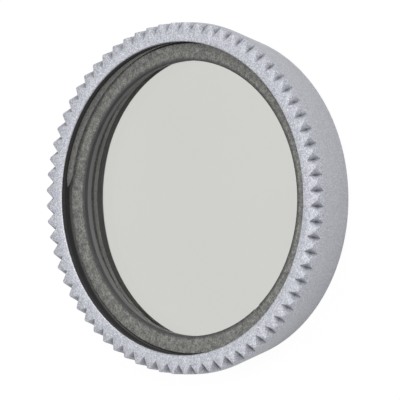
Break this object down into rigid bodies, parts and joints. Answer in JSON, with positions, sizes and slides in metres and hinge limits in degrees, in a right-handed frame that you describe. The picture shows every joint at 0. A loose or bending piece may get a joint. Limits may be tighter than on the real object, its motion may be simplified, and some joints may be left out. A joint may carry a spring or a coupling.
{
  "type": "screw-in lens filter",
  "caption": "Round camera filter: silver ring with a notched grip rim, black inside, a clear grey glass held by a retaining ring, and a short rear thread that screws into a lens.",
  "frame": {"origin": "centre of the mounting thread's end, on the surface that the filter lies on", "axes": "+Z along the optical axis, out of the front face; +X through the middle of one notch"},
  "size_m": [0.03, 0.03, 0.0061],
  "materials": {
    "silver_anodised": "bead-blasted silver anodise outside, matte black inside",
    "filter_glass": "polished, faint neutral grey",
    "black_anodised": "bead-blasted matte black anodise"
  },
  "bodies": {
    "root": {"frame": "silver_anodised", "glass": "filter_glass", "retaining_ring": "black_anodised"}
  },
  "joints": []
}
